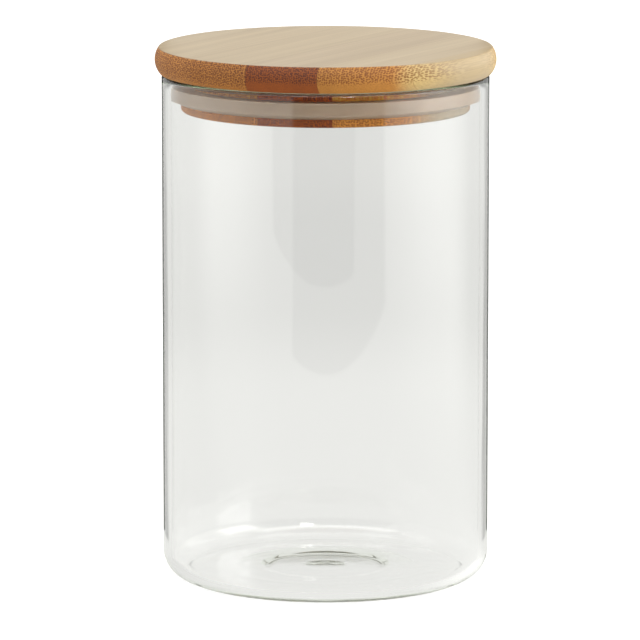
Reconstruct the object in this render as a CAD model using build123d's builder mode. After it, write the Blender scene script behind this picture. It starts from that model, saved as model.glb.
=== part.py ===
"""Lidded glass canister: a straight glass jar closed by a bamboo lid with a silicone seal ring.

Millimetres, +Z up. The origin is the centre of the jar's foot, on the surface it stands on.
The lid is turned from two layers of glued bamboo staves: a domed-edge disc and a plug.
The ring sits in the plug's groove, and its lip fills the mouth of the jar.
"""

import os
from math import cos, radians, sin, sqrt

from build123d import *

# Jar
jar_radius = 50.0            # outside of the wall
jar_height = 155.8           # foot to rim
wall = 2.6                   # wall thickness
base_thickness = 2.6         # floor of the jar, over the foot
corner_radius = 8.0          # outside corner between the wall and the foot
kick_radius = 29.0           # edge of the hollow pushed up under the base
kick_height = 0.6            # its depth at the centre
floor_rise = 0.25            # how much higher the floor is round its pressed middle than over the foot
dip_radius = 18.5            # middle of the slope round the pressed middle of the floor
dip_slope = 4.0              # width of that slope
dip_depth = 0.35             # how far the floor drops there
dimple_radius = 6.4          # mark at the centre of the floor, where the glass was closed
dimple_depth = 0.25

# Lid
lid_gap = 0.2                # rim to the underside of the disc, with the lid pressed home
lid_overhang = 2.1           # disc's widest radius, past the outside of the wall
disc_thickness = 8.0
edge_radius = 6.2            # arc of the domed edge
edge_drop = 3.8              # widest line of the disc, below its top
disc_rounding = 0.7          # top and bottom edges of the disc
plug_gap = 3.3               # plug to the inside of the wall
plug_depth = 11.05           # how far the plug reaches below the disc
plug_rounding = 0.8          # bottom edge of the plug
groove_top = 3.15            # upper side of the ring's groove, below the disc
groove_width = 5.35
groove_depth = 2.1

# Seal ring
ring_clearance = 0.1         # ring to the three sides of its groove
lip_clearance = 0.15         # lip to the glass
lip_height = 3.8             # straight outer face of the lip, above its slope
ring_foot = 0.5              # how far the ring stands out of the groove at the bottom of its slope
ring_rounding = 0.35

# Board that the lid is turned from
disc_staves = 6
plug_staves = 5
turning_allowance = 11.8     # board left past the disc on each side, which turning takes off
board_shift = 2.4            # middle glue line, across the grain from the lid's axis
grain_turn = -30.0           # degrees from +X to the direction across the grain

# Sizes that follow from those
bore_radius = jar_radius - wall
disc_radius = jar_radius + lid_overhang
disc_bottom = jar_height + lid_gap
disc_top = disc_bottom + disc_thickness
plug_radius = bore_radius - plug_gap
groove_radius = plug_radius - groove_depth
groove_high = disc_bottom - groove_top
groove_low = groove_high - groove_width
lip_radius = bore_radius - lip_clearance
ring_top = groove_high - ring_clearance
board_width = 2 * (disc_radius + turning_allowance)
stave_width = board_width / disc_staves

# The board lies with X across its grain, so each glue line is one X in this plane.
board = Plane(
    origin=(0, 0, 0),
    x_dir=(cos(radians(grain_turn)), sin(radians(grain_turn)), 0),
    z_dir=(0, 0, 1),
)


def write(piece, name):
    """Label a finished piece and write it to its own STEP file."""
    piece.label = name
    export_step(piece, f"parts/{name}.step")


def glue_line(number):
    """Distance across the grain from the lid's axis to a glue line; 0 is the board's first edge."""
    return board_shift + number * stave_width - board_width / 2


def stave(blank, low, high):
    """The part of a turned blank that lies between two lines across the grain."""
    with BuildPart() as piece:
        add(blank)
        with BuildSketch(board):
            with Locations(((low + high) / 2, 0)):
                Rectangle(high - low, board_width)
        extrude(amount=disc_top, mode=Mode.INTERSECT)
    return piece.part


os.makedirs("parts", exist_ok=True)

# Jar: one turned outline, up the outside, over the rim and down the inside.
slope_end = dip_radius + dip_slope / 2
slope_start = dip_radius - dip_slope / 2
dip_top = base_thickness + floor_rise
slope_middle = dip_top - dip_depth / 2
dip_floor = dip_top - dip_depth
foot_radius = jar_radius - corner_radius
rim_radius = wall / 2
rim_low = jar_height - rim_radius

with BuildPart() as glass_jar:
    with BuildSketch(Plane.XZ):
        with BuildLine():
            TangentArc((0, kick_height), (kick_radius, 0), tangent=(1, 0))
            Line((kick_radius, 0), (foot_radius, 0))
            TangentArc((foot_radius, 0), (jar_radius, corner_radius), tangent=(1, 0))
            Line((jar_radius, corner_radius), (jar_radius, rim_low))
            ThreePointArc(
                (jar_radius, rim_low),
                (jar_radius - rim_radius, jar_height),
                (bore_radius, rim_low),
            )
            Line((bore_radius, rim_low), (bore_radius, base_thickness + corner_radius - wall))
            TangentArc(
                (bore_radius, base_thickness + corner_radius - wall),
                (foot_radius, base_thickness),
                tangent=(0, -1),
            )
            Line((foot_radius, base_thickness), (slope_end, dip_top))
            TangentArc((slope_end, dip_top), (dip_radius, slope_middle), tangent=(-1, 0))
            TangentArc(
                (slope_start, dip_floor),
                (dip_radius, slope_middle),
                tangent=(1, 0),
            )
            Line((slope_start, dip_floor), (dimple_radius, dip_floor))
            TangentArc(
                (0, dip_floor - dimple_depth),
                (dimple_radius, dip_floor),
                tangent=(1, 0),
            )
            Line((0, dip_floor - dimple_depth), (0, kick_height))
        make_face()
    revolve(axis=Axis.Z)
write(glass_jar.part, "glass_jar")

# Seal ring: a square root in the groove, a straight lip against the glass, a slope below it.
ring_inside = groove_radius + ring_clearance
ring_bottom = groove_low + ring_clearance
with BuildPart() as seal_ring:
    with BuildSketch(Plane.XZ) as ring_section:
        with BuildLine():
            Polyline(
                (ring_inside, ring_bottom),
                (plug_radius + ring_foot, ring_bottom),
                (lip_radius, ring_top - lip_height),
                (lip_radius, ring_top),
                (ring_inside, ring_top),
                close=True,
            )
        make_face()
        fillet(ring_section.vertices().sort_by(Axis.X)[2:], radius=ring_rounding)
    revolve(axis=Axis.Z)
write(seal_ring.part, "seal_ring")

# Disc blank: flat faces and an arc for an edge, widest above its middle.
edge_centre = disc_radius - edge_radius
top_radius = edge_centre + sqrt(edge_radius**2 - edge_drop**2)
bottom_radius = edge_centre + sqrt(edge_radius**2 - (disc_thickness - edge_drop) ** 2)
with BuildPart() as disc_blank:
    with BuildSketch(Plane.XZ) as disc_section:
        with BuildLine():
            Line((0, disc_bottom), (bottom_radius, disc_bottom))
            ThreePointArc(
                (bottom_radius, disc_bottom),
                (disc_radius, disc_top - edge_drop),
                (top_radius, disc_top),
            )
            Polyline((top_radius, disc_top), (0, disc_top), (0, disc_bottom))
        make_face()
        fillet(disc_section.vertices().sort_by(Axis.X)[-2:], radius=disc_rounding)
    revolve(axis=Axis.Z)

for number in range(disc_staves):
    piece = stave(disc_blank.part, glue_line(number), glue_line(number + 1))
    write(piece, f"disc_stave_{number + 1}")

# Plug blank: two lands with the ring's groove between them.
plug_bottom = disc_bottom - plug_depth
with BuildPart() as plug_blank:
    with BuildSketch(Plane.XZ) as plug_section:
        with BuildLine():
            Polyline(
                (0, disc_bottom),
                (plug_radius, disc_bottom),
                (plug_radius, groove_high),
                (groove_radius, groove_high),
                (groove_radius, groove_low),
                (plug_radius, groove_low),
                (plug_radius, plug_bottom),
                (0, plug_bottom),
                close=True,
            )
        make_face()
        fillet(plug_section.vertices().group_by(Axis.Y)[0].sort_by(Axis.X)[-1], radius=plug_rounding)
    revolve(axis=Axis.Z)

# The plug's outermost staves run on to the board's edges.
for number in range(plug_staves):
    last = number == plug_staves - 1
    piece = stave(plug_blank.part, glue_line(number), glue_line(disc_staves if last else number + 1))
    write(piece, f"plug_stave_{number + 1}")
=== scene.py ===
"""Lidded glass canister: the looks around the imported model, in metres, in the model's own frame.

The jar and the seal ring are fine turned meshes that stand for their CAD nodes; the lid keeps its
CAD staves. Glass, silicone and bamboo are procedural. The studio is a white floor and a white
world, with flags, a window and a strip of light that only reflections and refractions see, as a
photographer sets them around glass.
"""

from math import cos, pi, radians, sin, tan

import bpy
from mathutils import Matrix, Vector


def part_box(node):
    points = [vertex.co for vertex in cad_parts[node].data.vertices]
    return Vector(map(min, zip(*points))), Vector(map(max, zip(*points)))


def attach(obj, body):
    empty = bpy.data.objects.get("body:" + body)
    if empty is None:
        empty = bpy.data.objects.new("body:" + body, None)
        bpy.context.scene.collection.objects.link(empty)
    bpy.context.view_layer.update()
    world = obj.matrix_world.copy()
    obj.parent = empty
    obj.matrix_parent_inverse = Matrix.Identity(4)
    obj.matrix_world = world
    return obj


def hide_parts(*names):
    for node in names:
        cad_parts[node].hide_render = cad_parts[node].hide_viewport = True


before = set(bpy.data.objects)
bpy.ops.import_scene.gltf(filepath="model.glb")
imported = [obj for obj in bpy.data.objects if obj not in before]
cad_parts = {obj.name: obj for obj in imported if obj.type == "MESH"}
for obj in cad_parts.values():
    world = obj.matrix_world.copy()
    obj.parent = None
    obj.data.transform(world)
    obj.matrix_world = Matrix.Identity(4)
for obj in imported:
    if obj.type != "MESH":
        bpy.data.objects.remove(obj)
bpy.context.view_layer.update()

MM = 0.001
TURNS = 288                      # segments round a turned mesh

# Jar, as the model has it
WALL = 2.6 * MM
BASE = 2.6 * MM
CORNER = 8.0 * MM
KICK_RADIUS = 29.0 * MM          # hollow pushed up under the base: its edge,
KICK_HEIGHT = 0.6 * MM           # and its depth at the centre
FLOOR_RISE = 0.25 * MM           # of the floor, from over the foot to the edge of the dip
DIP_RADIUS = 18.5 * MM           # middle of the slope into the dip
DIP_SLOPE = 4.0 * MM             # width of that slope
DIP_DEPTH = 0.35 * MM
DIMPLE_RADIUS = 6.4 * MM
DIMPLE_DEPTH = 0.25 * MM

# Ring, as the model has it
RING_FOOT = 2.5 * MM             # width of the ring's root, where its slope begins
LIP_HEIGHT = 3.8 * MM
RING_ROUNDING = 0.35 * MM

# Board
GRAIN_TURN = radians(-30.0)      # from +X to the direction across the grain
ACROSS = Vector((cos(GRAIN_TURN), sin(GRAIN_TURN), 0.0))

_, jar_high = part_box("glass_jar")
ring_low, ring_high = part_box("seal_ring")
JAR_RADIUS = jar_high.x
JAR_HEIGHT = jar_high.z
BORE = JAR_RADIUS - WALL


# Turned meshes ---------------------------------------------------------------------------------

def tangent_arc(start, end, tangent, steps):
    """Points of the arc from start to end that leaves start along tangent, start left out."""
    p, q, t = Vector(start), Vector(end), Vector(tangent).normalized()
    normal = Vector((-t.y, t.x))
    chord = q - p
    radius = chord.length_squared / (2 * chord.dot(normal))
    centre = p + normal * radius
    arm = p - centre
    turn = arm.angle_signed(q - centre)
    points = []
    for step in range(1, steps + 1):
        angle = -turn * step / steps
        points.append((
            centre.x + arm.x * cos(angle) - arm.y * sin(angle),
            centre.y + arm.x * sin(angle) + arm.y * cos(angle),
        ))
    return points


def line(start, end, steps):
    """Evenly spaced points from start to end, start left out."""
    p, q = Vector(start), Vector(end)
    return [tuple(p.lerp(q, step / steps)) for step in range(1, steps + 1)]


def mesh_object(name, vertices, faces):
    """A new mesh object in the scene."""
    mesh = bpy.data.meshes.new(name)
    mesh.from_pydata(vertices, [], faces)
    piece = bpy.data.objects.new(name, mesh)
    bpy.context.scene.collection.objects.link(piece)
    return piece


def lathe(name, outline, sharp=radians(30.0)):
    """A closed turned mesh from (radius, height) points, with poles where they meet the axis."""
    vertices, rings = [], []
    for radius, height in outline:
        first = len(vertices)
        if radius < 1e-9:
            vertices.append((0.0, 0.0, height))
            rings.append([first] * TURNS)
            continue
        for turn in range(TURNS):
            angle = 2 * pi * turn / TURNS
            vertices.append((radius * cos(angle), radius * sin(angle), height))
        rings.append(list(range(first, first + TURNS)))
    faces = []
    closed = outline[0][0] > 1e-9
    pairs = list(zip(rings, rings[1:])) + ([(rings[-1], rings[0])] if closed else [])
    for lower, upper in pairs:
        for turn in range(TURNS):
            after = (turn + 1) % TURNS
            corners = [lower[turn], lower[after], upper[after], upper[turn]]
            corners = list(dict.fromkeys(corners))
            if len(corners) > 2:
                faces.append(corners)
    piece = mesh_object(name, vertices, faces)
    piece.data.validate()
    piece.data.shade_smooth()
    piece.data.set_sharp_from_angle(angle=sharp)
    return piece


def jar_outline():
    """Outline of the glass, from the axis under the base, up the outside and down the inside."""
    rim_low = JAR_HEIGHT - WALL / 2
    foot = JAR_RADIUS - CORNER
    dip_top = BASE + FLOOR_RISE
    dip_floor = dip_top - DIP_DEPTH
    slope_in = DIP_RADIUS - DIP_SLOPE / 2
    slope_out = DIP_RADIUS + DIP_SLOPE / 2
    middle = (DIP_RADIUS, dip_top - DIP_DEPTH / 2)
    points = [(0.0, KICK_HEIGHT)]
    points += tangent_arc((0.0, KICK_HEIGHT), (KICK_RADIUS, 0.0), (1, 0), 40)
    points += line((KICK_RADIUS, 0.0), (foot, 0.0), 8)
    points += tangent_arc((foot, 0.0), (JAR_RADIUS, CORNER), (1, 0), 28)
    points += line((JAR_RADIUS, CORNER), (JAR_RADIUS, rim_low), 60)
    rim_top = (JAR_RADIUS - WALL / 2, JAR_HEIGHT)
    points += tangent_arc((JAR_RADIUS, rim_low), rim_top, (0, 1), 10)
    points += tangent_arc(rim_top, (BORE, rim_low), (-1, 0), 10)
    inner_low = BASE + CORNER - WALL
    points += line((BORE, rim_low), (BORE, inner_low), 60)
    points += tangent_arc((BORE, inner_low), (foot, BASE), (0, -1), 24)
    points += line((foot, BASE), (slope_out, dip_top), 12)
    points += tangent_arc((slope_out, dip_top), middle, (-1, 0), 14)
    inner_slope = tangent_arc((slope_in, dip_floor), middle, (1, 0), 14)
    points += inner_slope[-2::-1] + [(slope_in, dip_floor)]
    points += line((slope_in, dip_floor), (DIMPLE_RADIUS, dip_floor), 8)
    dimple = tangent_arc((0.0, dip_floor - DIMPLE_DEPTH), (DIMPLE_RADIUS, dip_floor), (1, 0), 12)
    points += dimple[-2::-1] + [(0.0, dip_floor - DIMPLE_DEPTH)]
    return points


def rounded(corners, radius, steps=6):
    """A closed outline with its corners rounded, each corner given as (r, z, rounded or not)."""
    points = []
    count = len(corners)
    for index, (x, y, soft) in enumerate(corners):
        here = Vector((x, y))
        if not soft:
            points.append((x, y))
            continue
        before = (Vector(corners[index - 1][:2]) - here).normalized()
        after = (Vector(corners[(index + 1) % count][:2]) - here).normalized()
        reach = radius / tan(before.angle(after) / 2)
        first, last = here + before * reach, here + after * reach
        points.append(tuple(first))
        points += tangent_arc(first, last, -before, steps)
    return points


def ring_outline():
    """Outline of the seal: a square root in the groove, a straight lip, and the slope below it."""
    inside = ring_inside()
    lip = ring_high.x
    return rounded([
        (inside, ring_low.z, True),
        (inside + RING_FOOT, ring_low.z, True),
        (lip, ring_high.z - LIP_HEIGHT, True),
        (lip, ring_high.z, True),
        (inside, ring_high.z, True),
    ], RING_ROUNDING)


def ring_inside():
    """The ring's inner radius, read from its CAD node."""
    return min(Vector(v.co.xy).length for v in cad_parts["seal_ring"].data.vertices)


# Materials -------------------------------------------------------------------------------------

class Nodes:
    """A node tree, with short calls for the nodes that this file uses."""

    def __init__(self, tree):
        self.tree = tree
        tree.nodes.clear()

    def node(self, kind, **values):
        node = self.tree.nodes.new(kind)
        for key, value in values.items():
            setattr(node, key, value)
        return node

    def link(self, source, out, target, into):
        self.tree.links.new(source.outputs[out], target.inputs[into])

    def plug(self, value, target, into):
        """Set a socket to a number, or link it to another node's socket."""
        if isinstance(value, bpy.types.NodeSocket):
            self.tree.links.new(value, target.inputs[into])
        else:
            target.inputs[into].default_value = value

    def math(self, operation, a, b=0.0, clamp=False):
        node = self.node("ShaderNodeMath", operation=operation, use_clamp=clamp)
        self.plug(a, node, 0)
        self.plug(b, node, 1)
        return node.outputs[0]

    def ramp(self, value, low, high, to_low=0.0, to_high=1.0):
        """Smooth step of a value from low to high."""
        node = self.node("ShaderNodeMapRange", interpolation_type="SMOOTHSTEP")
        self.plug(value, node, "Value")
        ends = {"From Min": low, "From Max": high, "To Min": to_low, "To Max": to_high}
        for key, number in ends.items():
            self.plug(number, node, key)
        return node.outputs[0]

    def mix(self, factor, a, b, blend="MIX"):
        node = self.node("ShaderNodeMix", data_type="RGBA", blend_type=blend)
        self.plug(factor, node, 0)
        self.plug(a if not isinstance(a, tuple) else (*a, 1.0), node, 6)
        self.plug(b if not isinstance(b, tuple) else (*b, 1.0), node, 7)
        return node.outputs[2]

    def combine(self, x, y, z):
        node = self.node("ShaderNodeCombineXYZ")
        for key, value in zip("XYZ", (x, y, z)):
            self.plug(value, node, key)
        return node.outputs[0]

    def noise(self, vector, scale=1.0, detail=3.0):
        node = self.node("ShaderNodeTexNoise")
        self.plug(vector, node, "Vector")
        node.inputs["Scale"].default_value = scale
        node.inputs["Detail"].default_value = detail
        node.inputs["Roughness"].default_value = 0.55
        return node.outputs["Fac"]

    def bump(self, height, strength, distance):
        node = self.node("ShaderNodeBump")
        node.inputs["Strength"].default_value = strength
        node.inputs["Distance"].default_value = distance
        self.plug(height, node, "Height")
        return node.outputs[0]

    def split(self, vector):
        """The three parts of a vector."""
        node = self.node("ShaderNodeSeparateXYZ")
        self.plug(vector, node, 0)
        return tuple(node.outputs)

    def light_path(self, name):
        return self.node("ShaderNodeLightPath").outputs[name]


class Shader(Nodes):
    """A new material, with its Principled surface."""

    def __init__(self, name):
        self.material = bpy.data.materials.new(name)
        self.material.use_nodes = True
        super().__init__(self.material.node_tree)
        self.output = self.node("ShaderNodeOutputMaterial")
        self.surface = self.node("ShaderNodeBsdfPrincipled")
        self.link(self.surface, "BSDF", self.output, "Surface")

    def set(self, **values):
        """Set the surface's sockets, with underscores for the spaces in their names."""
        for key, value in values.items():
            self.plug(value, self.surface, key.replace("_", " "))


RIPPLES_ROUND = 60.0             # ripples of the glass to the metre, across and along the wall
RIPPLES_UP = 9.0
GLASS_TINT = (0.55, 0.68, 0.42, 1.0)
GLASS_DEPTH = 6.0                # how fast that tint grows with the path


def glass_material():
    """Clear drawn borosilicate: faint long ripples down the wall, green only over a long path."""
    s = Shader("glass_clear")
    x, y, z = s.split(s.node("ShaderNodeTexCoord").outputs["Object"])
    drawn = s.combine(
        s.math("MULTIPLY", x, RIPPLES_ROUND),
        s.math("MULTIPLY", y, RIPPLES_ROUND),
        s.math("MULTIPLY", z, RIPPLES_UP),
    )
    ripple = s.noise(drawn, detail=2.0)
    s.set(
        Base_Color=(1.0, 1.0, 1.0, 1.0),
        Roughness=0.0,
        IOR=1.4725,
        Transmission_Weight=1.0,
        Normal=s.bump(ripple, 0.12, 0.0004),
    )
    body = s.node("ShaderNodeVolumeAbsorption")
    body.inputs["Color"].default_value = GLASS_TINT
    body.inputs["Density"].default_value = GLASS_DEPTH
    s.link(body, "Volume", s.output, "Volume")
    return s.material


SILICONE_TONES = (0.46, 0.325, 0.210), (0.52, 0.375, 0.250)


def silicone_material():
    """Translucent off-white silicone, satin, with faint clouds and a fine grain."""
    s = Shader("silicone_white")
    place = s.node("ShaderNodeTexCoord").outputs["Object"]
    cloud = s.noise(place, scale=90.0, detail=3.0)
    fine = s.noise(place, scale=1400.0, detail=2.0)
    colour = s.mix(s.ramp(cloud, 0.35, 0.7), *SILICONE_TONES)
    s.set(
        Base_Color=colour,
        Roughness=s.ramp(fine, 0.3, 0.7, 0.30, 0.42),
        IOR=2.1,
        Subsurface_Weight=0.55,
        Subsurface_Scale=0.0025,
        Normal=s.bump(fine, 0.15, 0.00005),
    )
    s.surface.inputs["Subsurface Radius"].default_value = (1.0, 0.9, 0.75)
    return s.material


# Bamboo tones, from the board's left edge to its right one: cut along the fibres, cut across them,
# and the fibre bundles
TONES = {
    1: ((0.45, 0.350, 0.22), (0.56, 0.235, 0.046), (0.15, 0.033, 0.004)),
    2: ((0.46, 0.355, 0.22), (0.56, 0.230, 0.042), (0.14, 0.030, 0.003)),
    3: ((0.46, 0.355, 0.22), (0.54, 0.210, 0.032), (0.13, 0.028, 0.002)),
    4: ((0.44, 0.335, 0.21), (0.35, 0.078, 0.002), (0.08, 0.012, 0.001)),
    5: ((0.46, 0.355, 0.22), (0.56, 0.235, 0.036), (0.22, 0.060, 0.005)),
    6: ((0.48, 0.360, 0.20), (0.72, 0.515, 0.20), (0.27, 0.120, 0.022)),
}
DARKEST = 4
BLENDED = 5                      # tone that runs softly into the next one
BLEND_WIDTH = 4.5 * MM
BLEND_SHARE = 0.85
PLUG_PAINTED_LIGHT = 1.5                  # painted light: the plug painted paler than the disc, for the shade it sits in under the disc
PLUG_PAINTED_LIGHT_BUNDLES = 1.8
UPPER_PAINTED_LIGHT = (1.9, 1.5, 1.2)     # painted light: paler again above the seal, in the shade between the disc and the seal
UPPER_PAINTED_LIGHT_DARKEST = (1.6, 1.4, 1.1)
UPPER_FROM, UPPER_TO = 4.0 * MM, 2.8 * MM      # below the plug's top

BUNDLE = 0.60 * MM               # spacing of the fibre bundles on the end grain
BUNDLE_UP = 0.85 * BUNDLE        # the same, up the board
WANDER = 1.6 * MM                # of the fibres, sideways
WANDER_SCALE = (40.0, 12.0)      # across the grain and along it
STREAK = (0.35 * MM, 45 * MM, 0.6 * MM)        # width, length and height of the fine streaks
BAND = (5.0 * MM, 120 * MM, 30.0 * MM)         # and of the slow changes of tone
BAND_SHADE = (0.80, 0.77, 0.72)
PATCH = (9.0 * MM, 4.0 * MM)     # width and height of the patches with more dots or fewer
PATCH_SHARE = 0.30
DOT_SIZE = (0.22, 0.36)          # radius in spacings, where the dots are few and where many
DOT_OWN_SIZE = 0.10              # how much more, from dot to dot
DOT_CORE, DOT_HALO = 0.12, 0.08  # soft edge of a dot, inside and outside that radius
DOT_FAINT = 0.12                 # strength of the dots where they are few
DOT_END, DOT_FACE = 0.90, 0.16   # strength on the end grain, and on the faces
GLUE_CORE, GLUE_EDGE = 0.05 * MM, 0.16 * MM    # off the joint, where a glue line fades and ends
GLUE_SHARE = 0.35


def turned_with_the_board(s, vector, kind):
    """A vector's parts across the grain, along it and up."""
    node = s.node("ShaderNodeMapping", vector_type=kind)
    s.plug(vector, node, "Vector")
    node.inputs["Rotation"].default_value = (0.0, 0.0, -GRAIN_TURN)
    return s.split(node.outputs[0])


def fibre_dots(s, bent, up, seed, fade_low, fade_high):
    """1 on the fibre bundles and 0 between them; fewer and smaller towards fade_low."""
    cells = s.node("ShaderNodeTexVoronoi", feature="F1", voronoi_dimensions="2D")
    place = s.math("ADD", s.math("DIVIDE", bent, BUNDLE), 10 * seed)
    s.plug(s.combine(place, s.math("DIVIDE", up, BUNDLE_UP), 0.0), cells, "Vector")
    cells.inputs["Scale"].default_value = 1.0
    cells.inputs["Randomness"].default_value = 0.62
    lone = s.node("ShaderNodeSeparateColor")
    s.plug(cells.outputs["Color"], lone, 0)
    patch = s.noise(
        s.combine(s.math("DIVIDE", bent, PATCH[0]), seed, s.math("DIVIDE", up, PATCH[1])),
        detail=1.0)
    uneven = s.math("MULTIPLY", s.math("SUBTRACT", patch, 0.5), PATCH_SHARE)
    many = s.math("ADD", s.ramp(up, fade_low, fade_high), uneven)
    own = s.math("MULTIPLY", lone.outputs[0], DOT_OWN_SIZE)
    size = s.math("ADD", s.ramp(many, 0.15, 0.60, *DOT_SIZE), own)
    inner, outer = s.math("SUBTRACT", size, DOT_CORE), s.math("ADD", size, DOT_HALO)
    dot = s.ramp(cells.outputs["Distance"], inner, outer, 1.0, 0.0)
    return s.math("MULTIPLY", dot, s.ramp(many, 0.15, 0.42, DOT_FAINT, 1.0))


def glue_lines(s, across, seams):
    """1 on the joints to the neighbouring staves."""
    glue = 0.0
    for seam in seams:
        off = s.math("ABSOLUTE", s.math("SUBTRACT", across, seam))
        glue = s.math("MAXIMUM", glue, s.ramp(off, GLUE_CORE, GLUE_EDGE, 1.0, 0.0))
    return glue


def gained(colour, gain):
    """A colour made paler channel by channel, short of white."""
    return tuple(min(0.95, c * g) for c, g in zip(colour, gain))


def end_tones(s, layer, tone, across, up, high, layer_high):
    """Colours of the end grain and of its bundles, over the surface of one stave, with painted
    light on the plug.
    """
    _, end, dark = TONES[tone]
    # painted light: the plug's colours painted paler than the disc's, for the shade it sits in
    # under the disc
    if layer == "plug":
        end = tuple(PLUG_PAINTED_LIGHT * c for c in end)
        dark = tuple(PLUG_PAINTED_LIGHT_BUNDLES * c for c in dark)
        # painted light: the plug's colours painted paler again towards its top, in the shade
        # between the disc and the seal
        upper = s.ramp(up, layer_high - UPPER_FROM, layer_high - UPPER_TO)
        gain = UPPER_PAINTED_LIGHT_DARKEST if tone == DARKEST else UPPER_PAINTED_LIGHT
        end = s.mix(upper, end, gained(end, gain))
        dark = s.mix(upper, dark, gained(dark, gain))
    if tone == BLENDED:
        near = s.ramp(across, high - BLEND_WIDTH, high, 0.0, BLEND_SHARE)
        end = s.mix(near, end, TONES[tone + 1][1])
        dark = s.mix(near, dark, TONES[tone + 1][2])
    return end, dark


def bamboo_material(name, layer, tone, seed, seams, high, layer_low, layer_high):
    """One stave: fibre bundles that are dots on the end grain and streaks along the grain."""
    s = Shader(name)
    place = s.node("ShaderNodeTexCoord")
    across, along, up = turned_with_the_board(s, place.outputs["Object"], "POINT")
    faces = turned_with_the_board(s, place.outputs["Normal"], "NORMAL")
    end_grain = s.ramp(s.math("ABSOLUTE", faces[1]), 0.10, 0.55)

    slow = (s.math("MULTIPLY", part, scale) for part, scale in zip((across, along), WANDER_SCALE))
    wander = s.noise(s.combine(*slow, seed), detail=1.0)
    bent = s.math("ADD", across, s.math("MULTIPLY", s.math("SUBTRACT", wander, 0.5), WANDER))

    # the dots thin out towards the disc's underside, less so on the three left staves
    reach_down = 1.0 if layer == "plug" else 0.45 if tone < DARKEST else 0.0
    fade_low = layer_low - reach_down * (layer_high - layer_low)
    dot = fibre_dots(s, bent, up, seed, fade_low, layer_high)
    streak = s.noise(s.combine(
        s.math("DIVIDE", bent, STREAK[0]),
        s.math("DIVIDE", along, STREAK[1]),
        s.math("DIVIDE", up, STREAK[2]),
    ), detail=2.0)
    band = s.noise(s.combine(
        s.math("DIVIDE", bent, BAND[0]),
        s.math("ADD", s.math("DIVIDE", along, BAND[1]), seed),
        s.math("DIVIDE", up, BAND[2]),
    ), detail=2.0)

    face = TONES[tone][0]
    end, dark = end_tones(s, layer, tone, across, up, high, layer_high)
    veins = s.math("MULTIPLY", s.ramp(streak, 0.40, 0.75), 0.30)
    face_colour = s.mix(veins, face, tuple(0.62 * c for c in face))
    dotted = s.math("MULTIPLY", dot, DOT_FACE)
    face_colour = s.mix(dotted, face_colour, tuple(0.5 * c for c in face))
    end_colour = s.mix(s.ramp(streak, 0.3, 0.7, 0.0, 0.25), end, dark)
    end_colour = s.mix(s.math("MULTIPLY", dot, DOT_END), end_colour, dark)
    colour = s.mix(end_grain, face_colour, end_colour)
    greyer = s.mix(1.0, colour, BAND_SHADE, "MULTIPLY")
    colour = s.mix(s.ramp(band, 0.3, 0.7, 0.0, 0.5), colour, greyer)
    colour = s.mix(s.math("MULTIPLY", glue_lines(s, across, seams), GLUE_SHARE), colour, dark)
    height = s.math("SUBTRACT", s.math("MULTIPLY", streak, 0.4), s.math("MULTIPLY", dot, end_grain))
    s.set(
        Base_Color=colour,
        Roughness=s.ramp(end_grain, 0.0, 1.0, 0.38, 0.70),
        IOR=1.45,
        Normal=s.bump(height, 0.35, 0.00006),
    )
    return s.material


# Pieces ----------------------------------------------------------------------------------------

def make_jar():
    jar = lathe("jar_glass", jar_outline())
    jar.data.materials.append(glass_material())
    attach(jar, "jar")
    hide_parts("glass_jar")


def make_ring():
    ring = lathe("ring_silicone", ring_outline())
    ring.data.materials.append(silicone_material())
    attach(ring, "seal")
    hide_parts("seal_ring")


def make_staves():
    """Every stave keeps its CAD mesh and takes bamboo of its own tone."""
    for layer in ("disc", "plug"):
        names = sorted(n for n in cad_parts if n.startswith(layer))
        low = min(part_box(n)[0].z for n in names)
        high = max(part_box(n)[1].z for n in names)
        for number, name in enumerate(names, 1):
            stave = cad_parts[name]
            sides = [v.co.dot(ACROSS) for v in stave.data.vertices]
            seams = []
            if number > 1:
                seams.append(min(sides))
            if number < len(names):
                seams.append(max(sides))
            seed = 3.7 * number + (0.0 if layer == "disc" else 1.9)
            material = bamboo_material(
                f"bamboo_{name}", layer, number, seed, seams, max(sides), low, high)
            stave.data.materials.clear()
            stave.data.materials.append(material)


# Studio ----------------------------------------------------------------------------------------

TABLE_NEAR = 0.84                # brightness of the white table close to the jar
TABLE_FAR = 0.765                # and further off
ROOM_DARK = 0.10                 # the unlit room beyond the table's front edge
ROOM_SOFT = 0.60                 # the same for the matt surfaces, which it lights a little
GLOW_LEFT = 1.10                 # tall soft boxes beside the table
GLOW_RIGHT = 1.9
MATT_GLOW = 1.3                  # how much more of that light the matt surfaces get
GLOW_TOP = 1.0
TABLE_EDGE = -0.43               # front edge of the table
TABLE_HALF = 6.0
WHITE = (1.0, 1.0, 0.975)
# The table's lit sides and its unlit front, by bearing: degrees from the front towards the right
# where each begins, is full, begins to end and has ended
LIT_RIGHT = (30.0, 80.0, 92.0, 125.0)
LIT_LEFT = (-120.0, -92.0, -80.0, -30.0)
UNLIT_FRONT = (-24.0, -21.0, 40.0, 43.0)


def straight_rays(s):
    """1 for a ray that has only passed through glass, 0 once it has been reflected or scattered."""
    turned = s.math("ADD", s.light_path("Glossy Depth"), s.light_path("Diffuse Depth"), clamp=True)
    return s.math("SUBTRACT", 1.0, turned)


def turned_once(s):
    """1 for a ray that has been reflected exactly once, by glass or by anything else."""
    return s.math("COMPARE", s.light_path("Glossy Depth"), 1.0)


def room_brightness(s):
    """The room in front of the table: dark in reflections, less so for what it lights softly."""
    soft = s.ramp(s.light_path("Diffuse Depth"), 0.0, 1.0, TABLE_FAR, ROOM_SOFT)
    return s.ramp(turned_once(s), 0.0, 1.0, soft, ROOM_DARK)


def sheet(name, corners, material):
    """A flat four-cornered stage piece."""
    piece = mesh_object(name, corners, [(0, 1, 2, 3)])
    piece.data.materials.append(material)
    return piece


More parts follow.
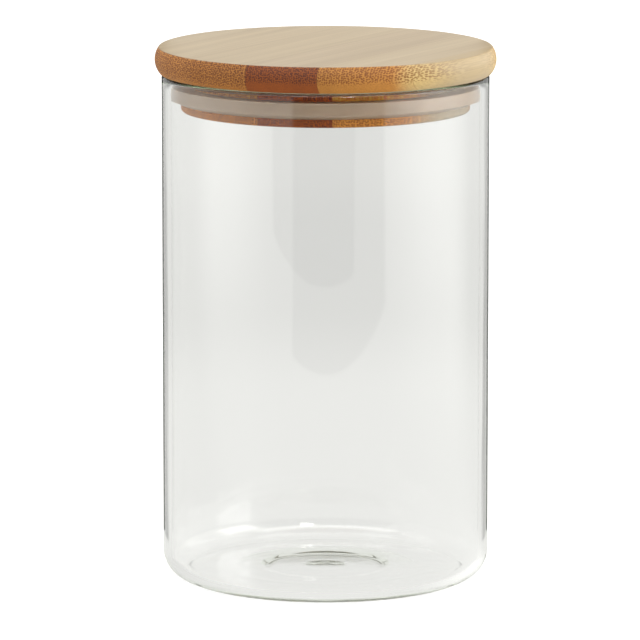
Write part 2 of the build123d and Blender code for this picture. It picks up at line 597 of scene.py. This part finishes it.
def glow_material(name, brightness):
    s = Shader(name)
    glow = s.node("ShaderNodeEmission")
    glow.inputs["Color"].default_value = (*WHITE, 1.0)
    s.plug(brightness(s) if callable(brightness) else brightness, glow, "Strength")
    s.link(glow, "Emission", s.output, "Surface")
    return s.material


def between(s, value, begins, full, ends, gone):
    """1 from full to ends, 0 before begins and past gone."""
    return s.math("MULTIPLY", s.ramp(value, begins, full), s.ramp(value, ends, gone, 1.0, 0.0))


def table_brightness(s):
    """The table's glow from place to place: painted pools of light where lamps beside it would
    light it, and its unlit front.
    """
    x, y, _ = s.split(s.node("ShaderNodeNewGeometry").outputs["Position"])
    reach = s.math("SQRT", s.math("ADD", s.math("MULTIPLY", x, x), s.math("MULTIPLY", y, y)))
    angle = s.math("ARCTAN2", x, s.math("MULTIPLY", y, -1.0))
    bearing = s.math("MULTIPLY", angle, 180 / pi)
    plain = s.ramp(reach, 0.30, 0.50, TABLE_NEAR, TABLE_FAR)
    plain = s.math("ADD", plain, s.ramp(reach, 0.7, 0.9, 0.0, 0.03))

    extra = GLOW_RIGHT - TABLE_FAR
    right = s.math(
        "MULTIPLY", between(s, bearing, *LIT_RIGHT), s.ramp(reach, 0.20, 0.75, 0.20 * extra, extra))
    extra = GLOW_LEFT - TABLE_FAR
    left = s.math(
        "MULTIPLY", between(s, bearing, *LIT_LEFT), s.ramp(reach, 0.40, 0.80, -0.06, extra))
    lit = s.math("ADD", plain, s.math("ADD", right, left))

    past_edge = s.ramp(y, TABLE_EDGE - 0.02, TABLE_EDGE, 1.0, 0.0)
    off = s.math("MULTIPLY", past_edge, between(s, bearing, *UNLIT_FRONT))
    lit = s.ramp(off, 0.0, 1.0, lit, room_brightness(s))
    return s.ramp(straight_rays(s), 0.0, 1.0, lit, plain)


def make_floor():
    """The table twice: what the camera sees of it, and what the glass and the lid see of it."""
    r = TABLE_HALF
    corners = [(-r, -r, 0.0), (r, -r, 0.0), (r, r, 0.0), (-r, r, 0.0)]
    seen = Shader("floor_white")
    seen.set(
        Base_Color=(0.5, 0.5, 0.5, 1.0),
        Roughness=0.9,
        Emission_Color=(1.0, 1.0, 1.0, 1.0),
        Emission_Strength=0.75,
    )
    floor = sheet("floor", corners, seen.material)
    floor.location.z = -0.0002
    floor.visible_glossy = False
    floor.visible_transmission = False
    floor.visible_diffuse = False
    floor.visible_shadow = False
    # the table that the glass and the lid see is a glowing sheet with painted pools of light
    table = sheet("table", corners, glow_material("table_white", table_brightness))
    table.location.z = -0.0004
    table.visible_camera = False
    table.visible_shadow = False


def hide(piece):
    """Leave a stage piece to reflections and refractions alone."""
    piece.visible_camera = False
    piece.visible_diffuse = False
    piece.visible_shadow = False


def flag_material(name, brightness, chosen):
    """A flag that is there only for the rays that chosen(shader) picks."""
    s = Shader(name)
    mix = s.node("ShaderNodeMixShader")
    s.plug(chosen(s), mix, 0)
    s.link(s.node("ShaderNodeBsdfTransparent"), 0, mix, 1)
    glow = s.node("ShaderNodeEmission")
    glow.inputs["Strength"].default_value = brightness
    s.link(glow, 0, mix, 2)
    s.link(mix, 0, s.output, "Surface")
    return s.material


def slant(s):
    """0 where a ray meets a surface square on, 1 where it grazes it."""
    node = s.node("ShaderNodeLayerWeight")
    node.inputs["Blend"].default_value = 0.5
    return node.outputs["Facing"]


def grazing_the_wall(s):
    """Rays turned a little aside by the edge of the wall, which meet a flag behind it square on."""
    return s.math("MULTIPLY", turned_once(s), s.ramp(slant(s), *FLAG_SLANT, 1.0, 0.0))


def inside_the_wall(s):
    """Rays that ran inside the edge of the wall: turned back in it once, and leaving at a slant."""
    in_and_out = s.math("COMPARE", s.light_path("Transmission Depth"), 2.0)
    chosen = s.math("MULTIPLY", turned_once(s), in_and_out)
    return s.math("MULTIPLY", chosen, s.ramp(slant(s), *FLAG_RING_SLANT))


# Flag round the jar, for the dark line in the wall
FLAG_RING = 0.060                # its radius
FLAG_RING_LOW, FLAG_RING_HIGH = 0.007, 0.30
FLAG_RING_SIDES = 288
FLAG_RING_SLANT = (0.408, 0.436)
FLAG_RING_DARK = 0.12            # its brightness
# Flags behind the jar's left and right edges
FLAG_NEAR, FLAG_FAR = 0.0500, 0.0720           # sideways from the jar's axis
FLAG_BACK = 0.062
FLAG_TOP = 0.25
FLAG_SLANT = (0.09, 0.14)
FLAG_DARK = 0.10
# Lights for the glints: a window over the front, and a long strip above it
WINDOW_AIM, WINDOW_RISE = radians(16.0), radians(36.0)
WINDOW_AWAY = 1.5
WINDOW_HALF = (0.12, 0.2)
WINDOW_GLOW = 9.0
STRIP_AIM = radians(75.0)        # the strip's ends, to either side of the front
STRIP_RISES = radians(44.0), radians(60.0)
STRIP_AWAY = 1.3
STRIP_STEPS = 36
STRIP_GLOW = 4.0


def make_flag_ring():
    turns = [2 * pi * n / FLAG_RING_SIDES for n in range(FLAG_RING_SIDES)]
    corners = [
        (FLAG_RING * cos(turn), FLAG_RING * sin(turn), z)
        for z in (FLAG_RING_LOW, FLAG_RING_HIGH) for turn in turns
    ]
    faces = []
    for n in range(FLAG_RING_SIDES):
        after = (n + 1) % FLAG_RING_SIDES
        faces.append((n, after, FLAG_RING_SIDES + after, FLAG_RING_SIDES + n))
    ring = mesh_object("flag_ring", corners, faces)
    ring.data.materials.append(flag_material("flag_ring", FLAG_RING_DARK, inside_the_wall))
    ring.data.shade_smooth()
    hide(ring)


def make_flags():
    for name, side in (("flag_left", -1), ("flag_right", 1)):
        near, far, y, top = side * FLAG_NEAR, side * FLAG_FAR, FLAG_BACK, FLAG_TOP
        corners = [(near, y, 0.0), (far, y, 0.0), (far, y, top), (near, y, top)]
        hide(sheet(name, corners, flag_material(name, FLAG_DARK, grazing_the_wall)))


def above_the_front(aim, rise, away):
    """A place over the front of the stage, aim to the right and rise above the table."""
    return Vector((sin(aim) * cos(rise), -cos(aim) * cos(rise), sin(rise))) * away


def make_window():
    centre = above_the_front(WINDOW_AIM, WINDOW_RISE, WINDOW_AWAY)
    across = Vector((cos(WINDOW_AIM), sin(WINDOW_AIM), 0.0)) * WINDOW_HALF[0]
    up = centre.cross(across).normalized() * WINDOW_HALF[1]
    low, high = centre - up, centre + up
    corners = [tuple(c) for c in (low - across, low + across, high + across, high - across)]
    hide(sheet("window", corners, glow_material("window", WINDOW_GLOW)))


def make_strip():
    aims = [STRIP_AIM * (2 * n / STRIP_STEPS - 1) for n in range(STRIP_STEPS + 1)]
    corners = [
        tuple(above_the_front(aim, rise, STRIP_AWAY))
        for rise in STRIP_RISES for aim in aims
    ]
    row = len(aims)
    faces = [(n, n + 1, row + n + 1, row + n) for n in range(STRIP_STEPS)]
    strip = mesh_object("strip", corners, faces)
    strip.data.materials.append(glow_material("strip", STRIP_GLOW))
    hide(strip)


def make_cards():
    """Dark flags draw the edges of the glass; a window and a strip give the glints."""
    make_flag_ring()
    make_flags()
    make_window()
    make_strip()


def make_world():
    """White where the camera looks past the jar; soft boxes and a dark front for all other rays."""
    world = bpy.data.worlds.new("studio")
    bpy.context.scene.world = world
    world.use_nodes = True
    s = Nodes(world.node_tree)
    x, y, z = s.split(s.node("ShaderNodeTexCoord").outputs["Generated"])
    matt = s.ramp(s.light_path("Diffuse Depth"), 0.0, 1.0, 1.0, MATT_GLOW)
    lit = s.ramp(x, 0.3, 0.9, TABLE_FAR, s.math("MULTIPLY", matt, GLOW_RIGHT))
    lit = s.ramp(x, -0.9, -0.3, s.math("MULTIPLY", matt, GLOW_LEFT), lit)
    lit = s.ramp(y, -0.75, -0.35, room_brightness(s), lit)
    lit = s.ramp(z, 0.5, 0.9, lit, GLOW_TOP)
    lit = s.ramp(straight_rays(s), 0.0, 1.0, lit, TABLE_FAR)
    light = s.node("ShaderNodeBackground")
    s.plug(lit, light, "Strength")
    light.inputs["Color"].default_value = (*WHITE, 1.0)
    seen = s.node("ShaderNodeBackground")
    seen.inputs["Strength"].default_value = 1.0
    seen.inputs["Color"].default_value = (1.0, 1.0, 1.0, 1.0)
    path = s.node("ShaderNodeLightPath")
    mix = s.node("ShaderNodeMixShader")
    s.link(path, "Is Camera Ray", mix, 0)
    s.link(light, 0, mix, 1)
    s.link(seen, 0, mix, 2)
    s.link(mix, 0, s.node("ShaderNodeOutputWorld"), "Surface")


def area_light(name, place, size, energy):
    """A soft box that looks at the middle of the canister."""
    data = bpy.data.lights.new(name, "AREA")
    data.shape = "RECTANGLE"
    data.size, data.size_y = size
    data.energy = energy
    lamp = bpy.data.objects.new(name, data)
    bpy.context.scene.collection.objects.link(lamp)
    lamp.location = place
    target = Vector((0.0, 0.0, JAR_HEIGHT * 0.8))
    lamp.rotation_euler = (target - Vector(place)).to_track_quat("-Z", "Y").to_euler()
    lamp.visible_camera = False


# Lamps: place, size in metres and power in watts
LAMPS = {
    "key_right": ((1.1, -0.25, 0.55), (0.7, 0.7), 4.0),
    "top": ((0.0, 0.2, 1.3), (0.9, 0.9), 5.0),
}


def make_lights():
    for name, (place, size, energy) in LAMPS.items():
        area_light(name, place, size, energy)


# Camera, in front of the canister and looking a little down
CAMERA_DISTANCE = 1.8
CAMERA_HEIGHT = 0.39106
CAMERA_PITCH = radians(9.827)
CAMERA_AIM_LEFT = 0.00169
LENS = 334.66
SENSOR = 36.0


def make_camera():
    data = bpy.data.cameras.new("camera")
    data.sensor_width = SENSOR
    data.lens = LENS
    camera = bpy.data.objects.new("camera", data)
    bpy.context.scene.collection.objects.link(camera)
    camera.location = (-CAMERA_AIM_LEFT, -CAMERA_DISTANCE, CAMERA_HEIGHT)
    camera.rotation_euler = (pi / 2 - CAMERA_PITCH, 0.0, 0.0)
    bpy.context.scene.camera = camera


scene = bpy.context.scene
scene.view_settings.view_transform = "Standard"
# light runs a long way inside the wall and the base before it leaves
scene.cycles.max_bounces = 96
scene.cycles.glossy_bounces = 96
scene.cycles.transmission_bounces = 48
make_camera()
make_world()
make_floor()
make_cards()
make_lights()
make_jar()
make_ring()
make_staves()
